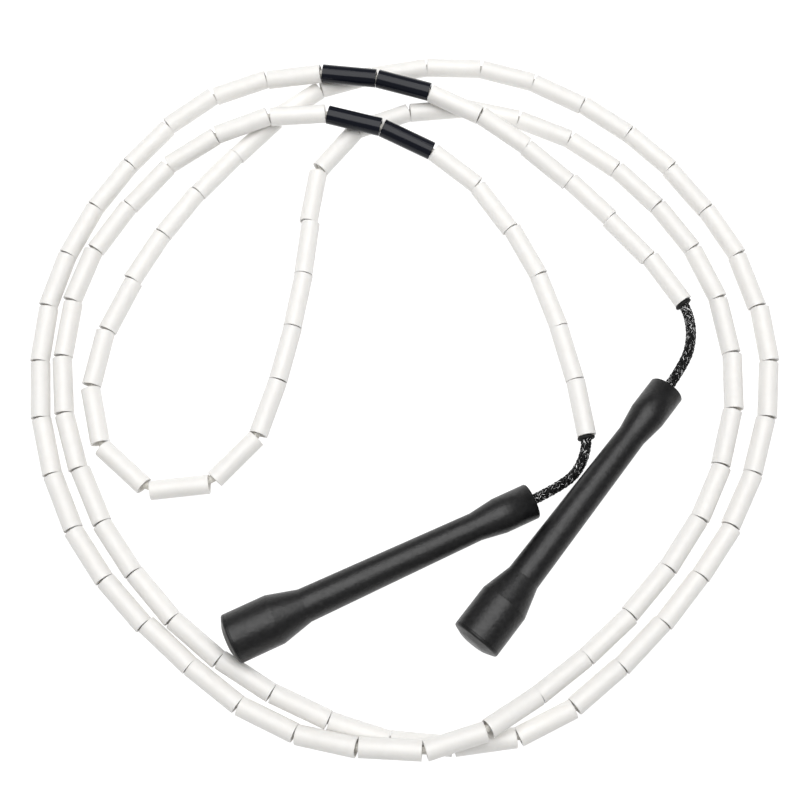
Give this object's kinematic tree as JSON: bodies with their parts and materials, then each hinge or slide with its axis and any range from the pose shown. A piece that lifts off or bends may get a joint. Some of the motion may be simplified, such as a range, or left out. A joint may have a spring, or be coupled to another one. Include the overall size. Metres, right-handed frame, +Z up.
{
  "type": "jump rope",
  "caption": "Beaded jump rope lying in loose rings: tube beads on a cord, a rubber stopper at each end and two flared plastic handles that turn on the cord.",
  "frame": {"origin": "on the surface that the rope lies on, at the middle of the two handles' box", "axes": "+X along the longer way of the handles' box, +Z up from the surface"},
  "size_m": [0.3354, 0.3242, 0.022],
  "materials": {
    "handle": "satin moulded",
    "white_bead": "satin",
    "black_bead": "gloss",
    "cord_core": "braided",
    "cord_sleeve": "braided",
    "stopper": "matte",
    "washer": "smooth"
  },
  "bodies": {
    "rope": {"cord_core": "cord_core", "cord_sleeve_a": "cord_sleeve", "cord_sleeve_b": "cord_sleeve", "stopper_ring_a": "stopper", "stopper_ring_b": "stopper", "white_beads_01": "white_bead", "white_beads_02": "white_bead", "white_beads_03": "white_bead", "white_beads_04": "white_bead", "white_beads_05": "white_bead", "white_beads_06": "white_bead", "white_beads_07": "white_bead", "white_beads_08": "white_bead", "white_beads_09": "white_bead", "white_beads_10": "white_bead", "white_beads_11": "white_bead", "white_beads_12": "white_bead", "white_beads_13": "white_bead", "white_beads_14": "white_bead", "white_beads_15": "white_bead", "white_beads_16": "white_bead", "white_beads_17": "white_bead"},
    "cord_end_a": {"end_knot_a": "cord_core", "washer_a": "washer"},
    "handle_a": {"handle_a": "handle", "end_cap_a": "handle"},
    "cord_end_b": {"end_knot_b": "cord_core", "washer_b": "washer"},
    "handle_b": {"handle_b": "handle", "end_cap_b": "handle"},
    "black_bead_1": {"black_bead_1": "black_bead"},
    "black_bead_2": {"black_bead_2": "black_bead"},
    "black_bead_3": {"black_bead_3": "black_bead"},
    "black_bead_4": {"black_bead_4": "black_bead"}
  },
  "joints": [
    {"name": "cord_a_bend", "type": "hinge", "parent": "rope", "child": "cord_end_a", "pos_m": [0.10197, 0.08097, 0.0063], "axis": [-0.807, 0.5906, 0], "range_deg": [0, 75], "deforming": ["cord_sleeve_a"]},
    {"name": "handle_a_spin", "type": "hinge", "parent": "cord_end_a", "child": "handle_a", "pos_m": [0.09103, 0.06071, 0.0079], "axis": [0.5904, 0.8067, -0.0242], "continuous": true},
    {"name": "cord_b_bend", "type": "hinge", "parent": "rope", "child": "cord_end_b", "pos_m": [0.05038, 0.02114, 0.00649], "axis": [-0.4587, 0.8886, 0], "range_deg": [0, 75], "deforming": ["cord_sleeve_b"]},
    {"name": "handle_b_spin", "type": "hinge", "parent": "cord_end_b", "child": "handle_b", "pos_m": [0.03165, 0.00813, 0.0079], "axis": [0.8884, 0.4585, -0.0242], "continuous": true},
    {"name": "black_bead_1_spin", "type": "hinge", "parent": "rope", "child": "black_bead_1", "pos_m": [-0.03139, 0.20298, 0.01346], "axis": [-0.9727, 0.2321, 0.0055], "continuous": true},
    {"name": "black_bead_2_spin", "type": "hinge", "parent": "rope", "child": "black_bead_2", "pos_m": [-0.05724, 0.20667, 0.01359], "axis": [-0.9977, 0.0672, -0.0047], "continuous": true},
    {"name": "black_bead_3_spin", "type": "hinge", "parent": "rope", "child": "black_bead_3", "pos_m": [-0.05743, 0.18384, 0.01356], "axis": [0.9866, -0.161, -0.0264], "continuous": true},
    {"name": "black_bead_4_spin", "type": "hinge", "parent": "rope", "child": "black_bead_4", "pos_m": [-0.03211, 0.17739, 0.01126], "axis": [0.9338, -0.3245, -0.1506], "continuous": true}
  ]
}
